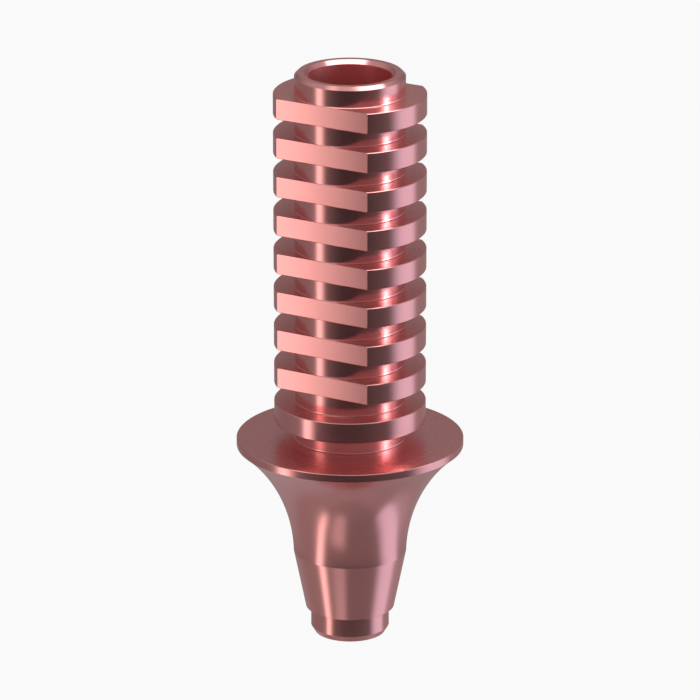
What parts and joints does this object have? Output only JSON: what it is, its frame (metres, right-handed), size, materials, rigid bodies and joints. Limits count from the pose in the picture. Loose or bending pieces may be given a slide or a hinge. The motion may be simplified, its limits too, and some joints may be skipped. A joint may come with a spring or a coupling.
{
  "type": "dental abutment",
  "caption": "Turned titanium dental abutment: tapered implant end, bell-shaped collar with a wide crown margin, and a grooved retention chimney with flats around a screw channel.",
  "frame": {"origin": "on the axis at the implant seat, where the bell of the collar meets the taper", "axes": "+Z along the axis from the implant towards the crown, with the rows of flats facing -Y and +Y"},
  "size_m": [0.006, 0.006, 0.0155],
  "materials": {
    "anodised_titanium": "turned titanium, anodised pink, satin with a soft shine"
  },
  "bodies": {
    "root": {"abutment_body": "anodised_titanium"}
  },
  "joints": []
}
